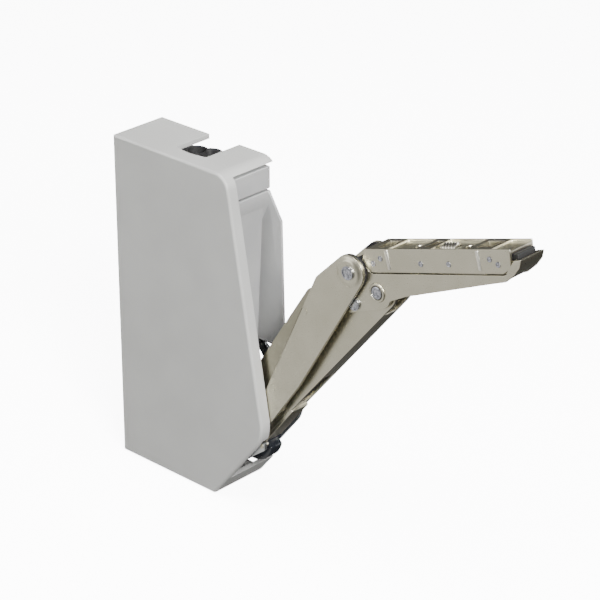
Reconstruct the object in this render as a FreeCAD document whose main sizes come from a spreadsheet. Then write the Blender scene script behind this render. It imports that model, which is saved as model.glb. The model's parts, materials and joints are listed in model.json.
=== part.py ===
"""Upward flap stay: moulded body, spring drive, two arms and a clip-on door bracket.

Millimetres. X runs from the cabinet's rear to its front, Y from the cover to the
cabinet's side panel and Z up. The origin is the centre of the four screw holes, on
the face that lies against the panel. Depths are measured from the body's rear edge,
drops from its top and layers from the outer face of the cover. The door is open.
"""
import FreeCAD, Part
import Sketcher as sketcher
import math
import os

doc = FreeCAD.newDocument("FlapStay")
sheet = doc.addObject("Spreadsheet::Sheet", "Sizes")
nodes = {}
row_count = 0


class Size:
    """A length or angle: its number, and the same thing written for the sheet."""

    def __init__(self, text, value):
        self.text = text
        self.value = value

    def __add__(self, other):
        other = as_size(other)
        return Size("(%s + %s)" % (self.text, other.text), self.value + other.value)

    def __sub__(self, other):
        other = as_size(other)
        return Size("(%s - %s)" % (self.text, other.text), self.value - other.value)

    def __mul__(self, other):
        other = as_size(other)
        return Size("(%s * %s)" % (self.text, other.text), self.value * other.value)

    def __truediv__(self, other):
        other = as_size(other)
        return Size("(%s / %s)" % (self.text, other.text), self.value / other.value)

    def __neg__(self):
        return Size("(0 - %s)" % self.text, -self.value)

    def __radd__(self, other):
        return as_size(other) + self

    def __rsub__(self, other):
        return as_size(other) - self


def as_size(value):
    return value if isinstance(value, Size) else Size("%.6g" % value, float(value))


def cosine(angle):
    return Size("cos(%s)" % angle.text, math.cos(math.radians(angle.value)))


def sine(angle):
    return Size("sin(%s)" % angle.text, math.sin(math.radians(angle.value)))


def tangent(angle):
    return Size("tan(%s)" % angle.text, math.tan(math.radians(angle.value)))


def smaller_of(one, other):
    return Size("min(%s; %s)" % (one.text, other.text), min(one.value, other.value))


def length_of(across, up):
    return Size("sqrt(%s^2 + %s^2)" % (across.text, up.text), math.hypot(across.value, up.value))


def direction_of(across, up):
    return Size("(atan2(%s; %s) / 1deg)" % (up.text, across.text),
                math.degrees(math.atan2(up.value, across.value)))


def size(name, value):
    """Write one driving dimension into the sheet."""
    global row_count
    row_count += 1
    sheet.set("A%d" % row_count, name)
    sheet.set("B%d" % row_count, str(value))
    sheet.setAlias("B%d" % row_count, name)
    return Size("Sizes." + name, float(value))


# Body
thickness = size("body_thickness", 28)
height = size("body_height", 146)
wall = size("cover_wall", 2.2)
depth_top = size("cover_depth_top", 64.9)
depth_front = size("cover_depth_front", 84.3)
nose_rise = size("cover_nose_rise", 36)
depth_bottom = size("cover_depth_bottom", 55.5)
top_round = size("cover_top_round", 7.5)
front_round = size("cover_front_round", 16)
bottom_round = size("cover_bottom_round", 2)
strip_width = size("front_strip_width", 5.2)
soft_edge = size("cover_soft_edge", 1.2)
lip_rise = size("bottom_lip_rise", 7.6)
notch_rear = size("notch_rear", 5.5)
notch_reach = size("notch_reach", 17)
notch_near = size("notch_near", 9)
notch_bulge = size("notch_bulge", 1.4)
notch_corner = size("notch_corner", 1)
notch_round = size("notch_bulge_round", 18)
sheet_steel = size("body_sheet", 1.5)
fit_gap = size("fit_gap", 0.4)
plate_margin = size("plate_margin", 0.6)
plate_set_back = size("plate_set_back", 4.9)
plate_round = size("plate_corner_round", 3)
plate_shoulder = size("plate_shoulder_rise", 3)
cheek_rise = size("cheek_rise", 24)
cheek_front = size("cheek_front_depth", 42)
cheek_top_rise = size("cheek_top_rise", 62)
screw_radius = size("screw_hole_radius", 2.25)
screw_pitch = size("screw_pitch", 32)
screw_set_back = size("screw_set_back", 10)
screw_top = size("screw_top_drop", 22)
screw_low_rise = size("screw_low_rise", 14)
nose_reach = size("cheek_nose_reach", 14)
nose_height = size("cheek_nose_height", 3.2)
nose_rivet = size("nose_rivet_radius", 1.1)

# Linkage at rest
arm_centre = size("arm_centre_layer", 15)
base_back = size("lower_pivot_back", 15.8)
base_rise = size("lower_pivot_rise", 29)
wing_reach_out = size("wing_pivot_reach", 68.7)
wing_lift = size("wing_pivot_lift", 87.6)
guide_back = size("guide_pin_back", 4.5)
guide_rise = size("guide_pin_rise", 10)
opening = size("opening_angle", 107)
lower_swing = size("lower_arm_swing", 33)
upper_swing = size("upper_arm_swing", 10)
knuckle_back = size("knuckle_back", 10)
knuckle_rise = size("knuckle_rise", 8.8)
pin_gap = size("pin_gap", 0.05)
layer_gap = size("layer_gap", 0.4)

# Arms
arm_sheet = size("arm_sheet", 1.5)
liner_sheet = size("liner_sheet", 0.8)
lower_half = size("lower_arm_half_width", 4.9)
lower_end = size("lower_arm_end_radius", 4.6)
lower_top = size("lower_arm_top_radius", 7.5)
web_start = size("lower_web_start", 27.4)
base_pin = size("base_pin_radius", 2.5)
base_bush = size("base_bush_radius", 3.9)
end_cap = size("end_cap_radius", 7.2)
end_cap_tip = size("end_cap_tip_radius", 2.2)
end_cap_reach = size("end_cap_reach", 17.5)
end_cap_low = size("end_cap_tip_low", 3)
upper_end = size("upper_arm_end_radius", 7)
arm_pin = size("arm_pin_radius", 2)
arm_head = size("arm_pin_head_radius", 2.8)
arm_boss = size("arm_boss_radius", 5.5)
boss_height = size("arm_boss_height", 0.5)
shoulder_back = size("arm_shoulder_back", 14.7)
shoulder_low = size("arm_shoulder_low", 8.9)
shoulder_round = size("arm_shoulder_round", 3)
bulge_back = size("arm_bulge_back", 29.6)
bulge_low = size("arm_bulge_low", 56.1)
bulge_round = size("arm_bulge_round", 4)
foot_back = size("arm_foot_back", 45.4)
foot_low = size("arm_foot_low", 78.1)
foot_round = size("arm_foot_round", 4.2)
heel_reach = size("liner_heel_reach", 21)
heel_low = size("liner_heel_low", 13)
heel_round = size("liner_heel_round", 5)
liner_back = size("liner_top_back", 20)
liner_low = size("liner_top_low", 17.7)
liner_round = size("liner_top_round", 4)
liner_rivet = size("liner_rivet_radius", 1.4)
spacer_tube = size("arm_spacer_radius", 4)
spacer_washer = size("arm_washer_radius", 6.8)
wing_pin = size("wing_pin_radius", 2.6)
wing_head = size("wing_pin_head_radius", 4.7)
wing_crown = size("wing_pin_crown_radius", 2.5)
crown_height = size("wing_pin_crown_height", 0.3)
head_height = size("rivet_head_height", 0.8)
guide_pin = size("guide_pin_radius", 2)
guide_slider = size("guide_slider_radius", 3.2)
guide_end = size("guide_eye_radius", 5)
window_start = size("arm_window_start", 32.4)
window_end = size("arm_window_end", 54)
window_half = size("arm_window_half_width", 3)
tail_reach = size("tail_reach", 16)
tail_end = size("tail_end_radius", 5.5)
tail_pin = size("tail_pin_radius", 2)
drive_slider = size("drive_slider_radius", 4)

# Spring drive
wire_radius = size("spring_wire_radius", 0.9)
coil_turns = size("spring_turns", 7)
seat_rise = size("spring_seat_rise", 50)
seat_height = size("spring_seat_height", 3)
plate_drop = size("spring_plate_drop", 30)
spring_plate_height = size("spring_plate_height", 3)
carriage_half = size("carriage_half_width", 6.2)
nut_across = size("nut_across_flats", 7)
nut_height = size("nut_height", 3)
screw_shank = size("force_screw_radius", 2.4)
screw_head = size("force_screw_head_radius", 3.4)
collar_height = size("force_screw_head_height", 3)
screw_recess = size("force_screw_recess_radius", 1.8)
dish_radius = size("bridge_dish_radius", 2.4)
lobe_shift = size("bridge_lobe_shift", 2)
bridge_reach = size("bridge_reach", 6)
bridge_drop = size("bridge_drop", 8)
bridge_height = size("bridge_height", 6)
lobe_radius = size("bridge_lobe_radius", 4.9)
lobe_step = size("bridge_lobe_step", 6.2)
lobe_drop = size("bridge_lobe_drop", 1.6)
yoke_half = size("yoke_half_width", 2.7)
yoke_edge = size("yoke_edge", 2.4)
yoke_play = size("yoke_play", 0.9)
yoke_gap = size("yoke_rod_gap", 1.1)
bar_height = size("yoke_bar_height", 5)
damper_foot = size("damper_foot_half_width", 3)
damper_length = size("damper_length", 54)
damper_rise = size("damper_rise", 20)
plunger_overlap = size("plunger_overlap", 20)
plunger_radius = size("plunger_radius", 1.6)

# Moulded front
cap_top = size("cap_top_drop", 4)
cap_bottom = size("cap_bottom_drop", 13)
cap_gap = size("cap_gap", 0.4)
face_back = size("insert_face_back", 0.9)
insert_rise = size("insert_bottom_rise", 64)
insert_wall = size("insert_wall", 1.2)
insert_reach = size("insert_reach", 7)
tongue_lean = size("insert_tongue_lean", 3)
tongue_half = size("insert_tongue_half_width", 6.4)
groove_reach = size("insert_groove_reach", 12)
head_front = size("insert_head_front_drop", 20)
head_bottom = size("insert_head_bottom_drop", 44)

# Wing and door bracket, along and above the wing pivot
wing_sheet = size("wing_sheet", 1.5)
wing_top = size("wing_top_height", 7.4)
wing_tip = size("wing_tip_height", 4.8)
hook_start = size("wing_hook_start", 65)
hook_reach = size("wing_hook_reach", 9.5)
hook_top = size("wing_hook_top", 13.2)
bridge_start = size("wing_bridge_start", 55)
eye_back = size("wing_eye_back", 3.8)
eye_height = size("wing_eye_height", 9)
eye_radius = size("wing_eye_radius", 1.4)
eye_hole = size("wing_eye_hole_radius", 0.7)
link_back = size("link_rivet_back", 13.5)
link_low = size("link_rivet_low", 4.6)
link_head = size("link_rivet_head_radius", 2.8)
door_height = size("door_face_height", 17.3)
bracket_start = size("bracket_start", -1.9)
bracket_nose = size("bracket_nose", -4.4)
bracket_end = size("bracket_end", 69.9)
bracket_wall = size("bracket_wall", 1.3)
bracket_top = size("bracket_top_sheet", 2.2)
bracket_low = size("bracket_low_height", 8)
bracket_step = size("bracket_step", 1)
step_half = size("bracket_step_half_width", 6)
window_wide = size("bracket_window_half_width", 3.8)
ridge_start = size("bracket_ridge_start", 9.3)
ridge_top = size("bracket_ridge_top", 16.7)
ridge_width = size("bracket_ridge_width", 0.9)
ridge_rise = size("bracket_ridge_rise", 0.25)
cross_pin = size("bracket_pin_radius", 1.1)
pin_stand = size("bracket_pin_stand", 0.2)
worm_middle = size("worm_middle", 36.2)
worm_length = size("worm_length", 7)
worm_radius = size("worm_radius", 2.3)
worm_height = size("worm_height", 15.5)
door_screw_first = size("door_screw_first", 21)
door_screw_second = size("door_screw_second", 46)
door_screw_radius = size("door_screw_radius", 2.2)
latch_start = size("latch_start", 61.5)
latch_reach = size("latch_reach", 2.1)
latch_height = size("latch_height", 2.4)
latch_half = size("latch_half_width", 5)
first_rib = size("first_rib", 9.5)
first_window = size("first_window", 2.2)
second_start = size("second_rib_start", 24)
second_rib = size("second_rib", 31.2)
second_window = size("second_window", 26.5)
third_start = size("third_rib_start", 49)
third_rib = size("third_rib", 60.8)
third_window = size("third_window", 51.5)
rib_width = size("rib_width", 1.5)
near_pin_along = size("near_pin_along", 1.1)
next_pin_along = size("next_pin_along", 5.3)
rear_pin_along = size("rear_pin_along", 25.5)
middle_pin_along = size("middle_pin_along", 39.4)
front_pin_along = size("front_pin_along", 59.7)
last_pin_along = size("last_pin_along", 63.3)
low_pin_height = size("low_pin_height", 11.5)
high_pin_height = size("high_pin_height", 13.5)
chin_start = size("wing_chin_start", 1)
neck_start = size("wing_neck_start", 6)
neck_low = size("wing_neck_low", 3.4)
throat_start = size("wing_throat_start", 14)
throat_low = size("wing_throat_low", 1.6)
belly_end = size("wing_belly_end", 57.9)
belly_height = size("wing_belly_height", 4)
link_round = size("wing_link_round", 2.2)
pivot_round = size("wing_pivot_round", 6.2)
pivot_shift = size("wing_pivot_round_low", 0.6)
arm_round = size("wing_arm_round", 4.6)
link_edge = size("wing_link_edge", 3.2)

# Worked out from the sizes above
front_drop = height - nose_rise
base_depth = depth_front - base_back
base_drop = height - base_rise
wing_depth = base_depth + wing_reach_out
wing_drop = base_drop - wing_lift
guide_depth = base_depth - guide_back
guide_drop = base_drop - guide_rise
plate_front = depth_top - plate_set_back
cheek_top = height - cheek_top_rise
screw_bottom = height - screw_low_rise
seat_drop = height - seat_rise
damper_bottom = height - damper_rise
damper_top = damper_bottom - damper_length
face_top = depth_top - face_back
insert_bottom = height - insert_rise
groove_back = face_top - groove_reach
screw_front = plate_front - screw_set_back
screw_rear = screw_front - screw_pitch
origin_depth = (screw_rear + screw_front) / 2
origin_drop = (screw_top + screw_bottom) / 2
far_plate = thickness - sheet_steel
near_cheek = wall + fit_gap
cheek_inner = near_cheek + sheet_steel
wing_inner = lower_half + layer_gap
wing_half = wing_inner + wing_sheet
liner_inner = wing_half + layer_gap
flange_inner = liner_inner + liner_sheet
flange_outer = flange_inner + arm_sheet
door_tilt = opening - 90
arm_depth = wing_depth - knuckle_back * cosine(door_tilt) - knuckle_rise * sine(door_tilt)
arm_drop = wing_drop + knuckle_back * sine(door_tilt) - knuckle_rise * cosine(door_tilt)
lower_across = wing_depth - base_depth
lower_up = base_drop - wing_drop
lower_length = length_of(lower_across, lower_up)
lower_angle = direction_of(lower_across, lower_up)
bands = [(bracket_nose, first_rib, first_window), (second_start, second_rib, second_window),
         (third_start, third_rib, third_window)]
cross_pins = [(near_pin_along, low_pin_height), (next_pin_along, high_pin_height),
              (rear_pin_along, low_pin_height), (middle_pin_along, low_pin_height),
              (front_pin_along, high_pin_height), (last_pin_along, low_pin_height)]
tail_angle = 180 - lower_swing / 2
boss_outer = flange_outer + boss_height
tail_depth = base_depth + tail_reach * cosine(tail_angle)
yoke_eye = drive_slider + yoke_edge
# The spring bay ends at the insert, or at the yoke's eye where that is nearer
rod_share = 0.8534
yoke_rear = tail_depth - yoke_eye - yoke_play - yoke_gap
spring_bay = smaller_of(groove_back - wall, (yoke_rear - wall) / rod_share)
screw_share, step_share, coil_share, rod_width_share = 0.6285, 0.1807, 0.1024, 0.0442
damper_share, damper_width_share, edge_share = 0.2088, 0.0924, 0.1446
spacer_share, spacer_edge_share = 0.05, 0.03
screw_line = wall + spring_bay * screw_share
spring_step = spring_bay * step_share
coil_radius = spring_bay * coil_share
rod_radius = spring_bay * rod_width_share
damper_line = wall + spring_bay * damper_share
damper_radius = spring_bay * damper_width_share
carriage_edge = spring_bay * edge_share
spacer_radius = spring_bay * spacer_share
spacer_edge = spring_bay * spacer_edge_share
notch_start = screw_line - notch_rear
notch_end = notch_start + notch_reach
tail_drop = base_drop - tail_reach * sine(tail_angle)
rear_spring = screw_line - spring_step
front_spring = screw_line + spring_step
high_rivet = (0.62, 0.71)
low_rivet = (0.33, 0.23)
liner_rivet_spots = [(guide_depth + (arm_depth - guide_depth) * forward,
                      guide_drop - (guide_drop - arm_drop) * up) for forward, up in (high_rivet, low_rivet)]
overshoot = 40
ridge_share = 0.44
slider_play = 0.2
press_gap = 0.1
screw_room = 0.3


def bind(thing, path, value):
    thing.setExpression(path, as_size(value).text)


def place(thing, depth, layer, drop, turn=None):
    """Set a piece in the shared frame; its own X runs forward unless it is turned."""
    depth, layer, drop = as_size(depth), as_size(layer), as_size(drop)
    x, y, z = depth - origin_depth, layer - thickness, origin_drop - drop
    turned = FreeCAD.Rotation()
    if turn is not None:
        turned = FreeCAD.Rotation(FreeCAD.Vector(0, -1, 0), turn.value)
    thing.Placement = FreeCAD.Placement(FreeCAD.Vector(x.value, y.value, z.value), turned)
    bind(thing, "Placement.Base.x", x)
    bind(thing, "Placement.Base.y", y)
    bind(thing, "Placement.Base.z", z)
    if turn is not None:
        bind(thing, "Placement.Rotation.Angle", turn)


def keep(name, thing):
    thing.Label = name
    nodes[name] = thing
    return thing


def plane_sketch(body, plane, name):
    sketch = body.newObject("Sketcher::SketchObject", name)
    flat = [item for item in body.Origin.OriginFeatures if item.Role == plane][0]
    sketch.AttachmentSupport = [(flat, "")]
    sketch.MapMode = "FlatFace"
    return sketch


def fix_point(sketch, item, end, x, y):
    """Tie a point of a sketch to the sketch's origin by two distances."""
    for kind, value in (("DistanceX", x), ("DistanceY", y)):
        at = sketch.addConstraint(sketcher.Constraint(kind, -1, 1, item, end, value.value))
        sketch.setExpression("Constraints[%d]" % at, value.text)


def fix_radius(sketch, item, radius):
    at = sketch.addConstraint(sketcher.Constraint("Radius", item, radius.value))
    sketch.setExpression("Constraints[%d]" % at, radius.text)


def vector(x, y):
    return FreeCAD.Vector(x, y, 0)


def draw_outline(sketch, points):
    """A closed run of straight lines through the given points."""
    points = [(as_size(x), as_size(y)) for x, y in points]
    first = sketch.GeometryCount
    count = len(points)
    for step in range(count):
        start, stop = points[step], points[(step + 1) % count]
        line = Part.LineSegment(vector(start[0].value, start[1].value),
                                vector(stop[0].value, stop[1].value))
        sketch.addGeometry(line, False)
    for step in range(count):
        after = first + (step + 1) % count
        sketch.addConstraint(sketcher.Constraint("Coincident", first + step, 2, after, 1))
        fix_point(sketch, first + step, 1, *points[step])


def draw_circle(sketch, x, y, radius):
    x, y, radius = as_size(x), as_size(y), as_size(radius)
    ring = Part.Circle(vector(x.value, y.value), FreeCAD.Vector(0, 0, 1), radius.value)
    item = sketch.addGeometry(ring, False)
    fix_point(sketch, item, 3, x, y)
    fix_radius(sketch, item, radius)


def draw_belt(sketch, rounds):
    """The outline of a belt pulled round some discs, given anticlockwise."""
    rounds = [tuple(as_size(part) for part in disc) for disc in rounds]
    count = len(rounds)
    headings = []
    for step in range(count):
        x0, y0, r0 = (part.value for part in rounds[step])
        x1, y1, r1 = (part.value for part in rounds[(step + 1) % count])
        span = math.hypot(x1 - x0, y1 - y0)
        headings.append(math.atan2(y1 - y0, x1 - x0) - math.pi / 2 + math.asin((r0 - r1) / span))
    first = sketch.GeometryCount
    for step in range(count):
        x, y, radius = (part.value for part in rounds[step])
        circle = Part.Circle(vector(x, y), FreeCAD.Vector(0, 0, 1), radius)
        start, stop = headings[step - 1], headings[step]
        if stop < start:
            stop += 2 * math.pi
        sketch.addGeometry(Part.ArcOfCircle(circle, start, stop), False)
        far = rounds[(step + 1) % count]
        heading = headings[step]
        ray = vector(math.cos(heading), math.sin(heading))
        line = Part.LineSegment(vector(x, y) + ray * radius,
                                vector(far[0].value, far[1].value) + ray * far[2].value)
        sketch.addGeometry(line, False)
    for step in range(count):
        arc, line = first + 2 * step, first + 2 * step + 1
        after = first + (2 * step + 2) % (2 * count)
        fix_point(sketch, arc, 3, rounds[step][0], rounds[step][1])
        fix_radius(sketch, arc, rounds[step][2])
        sketch.addConstraint(sketcher.Constraint("Tangent", arc, 2, line, 1))
        sketch.addConstraint(sketcher.Constraint("Tangent", line, 2, after, 1))


def add_pad(body, sketch, length, reverse=True, middle=False):
    pad = body.newObject("PartDesign::Pad", "Pad")
    pad.Profile = sketch
    pad.Length = as_size(length).value
    bind(pad, "Length", length)
    pad.Reversed = reverse
    pad.Midplane = middle
    return pad


def add_pocket(body, sketch, length=None):
    """Cut through everything, or half the given length to each side of the sketch."""
    pocket = body.newObject("PartDesign::Pocket", "Pocket")
    pocket.Profile = sketch
    pocket.Midplane = True
    if length is None:
        pocket.Type = 1
    else:
        pocket.Length = as_size(length).value
        bind(pocket, "Length", length)
    return pocket


def edges_along_y(shape, spots):
    """Names of the edges that run across the thickness through the given spots."""
    names = []
    for number, edge in enumerate(shape.Edges, 1):
        low, high = edge.Vertexes[0].Point, edge.Vertexes[-1].Point
        if abs(low.x - high.x) > 1e-4 or abs(low.z - high.z) > 1e-4:
            continue
        for x, z in spots:
            if abs(low.x - as_size(x).value) < 1e-3 and abs(low.z - as_size(z).value) < 1e-3:
                names.append("Edge%d" % number)
    return names


def add_fillet(body, names, radius):
    doc.recompute()
    fillet = body.newObject("PartDesign::Fillet", "Fillet")
    fillet.Base = (body.Tip if body.Tip is not fillet else fillet.BaseFeature, names)
    fillet.Radius = as_size(radius).value
    bind(fillet, "Radius", radius)
    doc.recompute()
    return fillet


def round_corners(body, spots, radius):
    return add_fillet(body, edges_along_y(body.Tip.Shape, spots), radius)


def new_body(name, depth, layer, drop, turn=None):
    body = doc.addObject("PartDesign::Body", name.title().replace("_", ""))
    place(body, depth, layer, drop, turn)
    return keep(name, body)


def flat_plate(name, layer, gauge, draw, frame=(0, 0, None)):
    """A flat pressing, drawn as seen from the cover and given its gauge."""
    body = new_body(name, frame[0], layer, frame[1], frame[2])
    sketch = plane_sketch(body, "XZ_Plane", "Outline")
    draw(sketch)
    add_pad(body, sketch, gauge)
    doc.recompute()
    return body


def cylinder(depth, drop, low, high, radius):
    """A round bar across the thickness, from one layer to another."""
    bar = doc.addObject("Part::Cylinder", "Bar")
    low, high, radius = as_size(low), as_size(high), as_size(radius)
    bar.Radius = radius.value
    bar.Height = (high - low).value
    bind(bar, "Radius", radius)
    bind(bar, "Height", high - low)
    set_across(bar, depth, low, drop)
    return bar


def set_across(thing, depth, layer, drop):
    place(thing, depth, layer, drop)
    turned = FreeCAD.Rotation(FreeCAD.Vector(1, 0, 0), -90)
    thing.Placement = FreeCAD.Placement(thing.Placement.Base, turned)


def upright(depth, layer, low_drop, high_drop, radius):
    """A round bar that stands up, from one drop to a smaller one."""
    bar = doc.addObject("Part::Cylinder", "Bar")
    low_drop, high_drop, radius = as_size(low_drop), as_size(high_drop), as_size(radius)
    bar.Radius = radius.value
    bar.Height = (low_drop - high_drop).value
    bind(bar, "Radius", radius)
    bind(bar, "Height", low_drop - high_drop)
    place(bar, depth, layer, low_drop)
    return bar


def block(start, stop, near, far, low_drop, high_drop):
    """A square block between depths, layers and drops."""
    box = doc.addObject("Part::Box", "Block")
    sides = {"Length": as_size(stop) - as_size(start), "Width": as_size(far) - as_size(near),
             "Height": as_size(low_drop) - as_size(high_drop)}
    for side, value in sides.items():
        setattr(box, side, value.value)
        bind(box, side, value)
    place(box, start, near, low_drop)
    return box


def joined(pieces):
    fused = doc.addObject("Part::MultiFuse", "Joined")
    fused.Shapes = pieces
    fused.Refine = True
    return fused


def without(base, cutters):
    cut = doc.addObject("Part::Cut", "Cut")
    cut.Base = base
    cut.Tool = cutters[0] if len(cutters) == 1 else joined(cutters)
    cut.Refine = True
    return cut


def turned_pin(name, depth, drop, steps):
    """A pin or rivet across the thickness: each step is from layer, to layer, radius."""
    bars = [cylinder(depth, drop, low, high, radius) for low, high, radius in steps]
    return keep(name, joined(bars) if len(bars) > 1 else bars[0])


front_slope = (depth_front - depth_top) / front_drop
slant_slope = (depth_front - depth_bottom) / (height - front_drop)


def front_line(drop, inset):
    """Depth of the front edge at a drop, moved inward square to the edge."""
    return depth_top + front_slope * drop - inset * length_of(as_size(1), front_slope)


def slant_line(drop, inset):
    """Depth of the slanted lower edge at a drop, moved inward square to the edge."""
    return depth_front - slant_slope * (drop - front_drop) - inset * length_of(as_size(1), slant_slope)


def cover_corners(inset):
    """Corners of the body's outline, moved inward by the inset."""
    nose = slant_line(as_size(0), inset) - front_line(as_size(0), inset)
    nose_drop = nose / (front_slope + slant_slope)
    return [(inset, inset - height), (slant_line(height - inset, inset), inset - height),
            (front_line(nose_drop, inset), -nose_drop), (front_line(inset, inset), -inset),
            (inset, -inset)]


def make_outer_cover():
    """Moulded shell: side wall, top, rear and bottom, open at the mouth and the far side."""
    outer = cover_corners(as_size(0))
    shell = flat_plate("cover_block", 0, thickness, lambda sketch: draw_outline(sketch, outer))
    round_corners(shell, [outer[3]], top_round)
    round_corners(shell, [outer[2]], front_round)
    round_corners(shell, [outer[1]], bottom_round)
    rim = [number for number, edge in enumerate(shell.Tip.Shape.Edges, 1)
           if edge.BoundBox.YMax < 1e-4 and edge.Length > 1]
    add_fillet(shell, ["Edge%d" % number for number in rim], soft_edge)

    inner = cover_corners(wall)
    hollow = flat_plate("cover_hollow", wall, thickness, lambda sketch: draw_outline(sketch, inner))
    round_corners(hollow, [inner[3]], top_round - wall)
    round_corners(hollow, [inner[2]], front_round - wall)

    lip_height = wall + lip_rise
    lip_inner = depth_bottom + slant_slope * lip_height - wall * 3
    mouth = flat_plate("cover_mouth", strip_width, thickness, lambda sketch: draw_outline(sketch, [
        (lip_inner, lip_height - height), (depth_front + wall, lip_height - height),
        (depth_front + wall, -wall), (face_top - strip_width, -wall)]))
    open_from = front_drop + wall
    slant = flat_plate("cover_slant", wall, thickness, lambda sketch: draw_outline(sketch, [
        (lip_inner, lip_height - height), (depth_front + wall, lip_height - height),
        (depth_front + wall, -open_from), (slant_line(open_from, wall * 3), -open_from)]))

    notch = doc.addObject("PartDesign::Body", "NotchTool")
    place(notch, 0, 0, 0)
    plan = plane_sketch(notch, "XY_Plane", "Plan")
    middle = (notch_start + notch_end) / 2
    draw_outline(plan, [(notch_start, notch_near), (middle, notch_near - notch_bulge),
                        (notch_end, notch_near), (notch_end, thickness + wall),
                        (notch_start, thickness + wall)])
    add_pad(notch, plan, wall * 3, middle=True)
    doc.recompute()

    def upright_edges(depths):
        return ["Edge%d" % number for number, edge in enumerate(notch.Tip.Shape.Edges, 1)
                if edge.BoundBox.YMax < (notch_near + fit_gap).value and edge.BoundBox.XLength < 1e-3
                and any(abs(edge.BoundBox.XMin - depth.value) < 1e-3 for depth in depths)]

    add_fillet(notch, upright_edges([middle]), notch_round)
    add_fillet(notch, upright_edges([notch_start, notch_end]), notch_corner)
    for name in ("cover_block", "cover_hollow", "cover_mouth", "cover_slant"):
        del nodes[name]
    keep("outer_cover", without(shell, [hollow, mouth, slant, notch]))


def steel_corners(top, front):
    """Corners of a steel plate that follows the inside of the cover."""
    inset = wall + plate_margin
    inner = cover_corners(inset)
    turn = direction_of(as_size(1), front_slope) + direction_of(as_size(1), slant_slope)
    shoulder = front_drop - plate_shoulder - (front_round - inset) * tangent(turn / 2)
    return [inner[0], inner[1], inner[2], (front_line(shoulder, inset), -shoulder),
            (front, -cheek_top), (front, -top), (inset, -top)]


def guide_path(count):
    """Centres of the guide pin in the body while the stay closes, by the coupling law."""
    spots = []
    for step in range(count + 1):
        part = step / count
        lower = math.radians(lower_angle.value + lower_swing.value * part)
        wing_x = base_depth.value + lower_length.value * math.cos(lower)
        wing_z = -base_drop.value + lower_length.value * math.sin(lower)
        turn = math.radians(-opening.value * part)
        back_x, back_z = (arm_depth - wing_depth).value, (wing_drop - arm_drop).value
        arm_x = wing_x + back_x * math.cos(turn) - back_z * math.sin(turn)
        arm_z = wing_z + back_x * math.sin(turn) + back_z * math.cos(turn)
        lean = math.radians(upper_swing.value * part)
        reach_x, reach_z = (guide_depth - arm_depth).value, (arm_drop - guide_drop).value
        spots.append((arm_x + reach_x * math.cos(lean) - reach_z * math.sin(lean),
                      arm_z + reach_x * math.sin(lean) + reach_z * math.cos(lean)))
    return spots


def guide_slot_tool(name):
    """The curved slot that the guide slider follows, as a solid to cut with."""
    half = (guide_slider + pin_gap).value
    spots = guide_path(24)
    sides = {-1: [], 1: []}
    for step, (x, z) in enumerate(spots):
        before, after = spots[max(step - 1, 0)], spots[min(step + 1, len(spots) - 1)]
        along_x, along_z = after[0] - before[0], after[1] - before[1]
        span = math.hypot(along_x, along_z)
        for side in sides:
            sides[side].append(FreeCAD.Vector(x - side * along_z / span * half, 0,
                                              z + side * along_x / span * half))
    curves = []
    for side in sides:
        curve = Part.BSplineCurve()
        curve.interpolate(sides[side])
        curves.append(curve.toShape())

    def end_arc(spot, inner, outer):
        middle = FreeCAD.Vector(spot[0], 0, spot[1])
        inward = FreeCAD.Vector(inner[0], 0, inner[1]) - middle
        inward.normalize()
        return Part.Arc(sides[-1][outer], middle - inward * half, sides[1][outer]).toShape()

    start = end_arc(spots[0], spots[1], 0)
    stop = end_arc(spots[-1], spots[-2], -1)
    outline = Part.Wire(Part.__sortEdges__([curves[0], stop, curves[1], start]))
    solid = Part.Face(outline).extrude(FreeCAD.Vector(0, thickness.value * 2, 0))
    tool = doc.addObject("Part::Feature", name)
    tool.Shape = solid
    place(tool, 0, -thickness / 2, 0)
    return tool


def make_base_plate():
    """Steel plate against the cabinet's side, with the screw holes and the guide slot."""
    corners = steel_corners(wall + plate_margin, plate_front)

    def draw(sketch):
        draw_outline(sketch, corners)
        for depth in (screw_rear, screw_front):
            for drop in (screw_top, screw_bottom):
                draw_circle(sketch, depth, -drop, screw_radius)
        draw_circle(sketch, base_depth, -base_drop, base_pin)

    plate = flat_plate("base_plate", far_plate, sheet_steel, draw)
    round_corners(plate, [corners[0], corners[5], corners[6]], plate_round)
    round_corners(plate, [corners[2]], front_round - wall - plate_margin)
    cut = without(plate, [guide_slot_tool("FarSlot")])
    plate.Label = "base_plate_blank"
    keep("base_plate", cut)


def make_inner_cheek():
    """Second steel plate, just inside the cover."""
    corners = steel_corners(cheek_top - cheek_rise, cheek_front)

    def draw(sketch):
        draw_outline(sketch, corners)
        draw_circle(sketch, base_depth, -base_drop, base_pin)

    plate = flat_plate("inner_cheek", near_cheek, sheet_steel, draw)
    round_corners(plate, [corners[0], corners[5], corners[6]], plate_round)
    round_corners(plate, [corners[2]], front_round - wall - plate_margin)
    tip = base_depth + nose_reach
    nose_top = base_drop - nose_height - plate_margin
    nose = plane_sketch(plate, "XZ_Plane", "Nose")
    draw_outline(nose, [(base_depth + nose_reach / 3, -base_drop - nose_height * 2),
                        (tip, -nose_top - nose_height), (tip, -nose_top),
                        (base_depth + plate_margin, -nose_top),
                        (base_depth + nose_height, -base_drop)])
    add_pad(plate, nose, sheet_steel)
    doc.recompute()
    rivet_depth, rivet_drop = tip - nose_height / 2, nose_top + nose_height / 2
    cut = without(plate, [guide_slot_tool("NearSlot"),
                          cylinder(rivet_depth, rivet_drop, 0, thickness, nose_rivet / 2)])
    plate.Label = "inner_cheek_blank"
    keep("inner_cheek", cut)
    turned_pin("nose_rivet", rivet_depth, rivet_drop,
               [(near_cheek, cheek_inner, nose_rivet / 2),
                (near_cheek - fit_gap / 2, near_cheek, nose_rivet),
                (cheek_inner, cheek_inner + sheet_steel, nose_rivet)])


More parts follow.
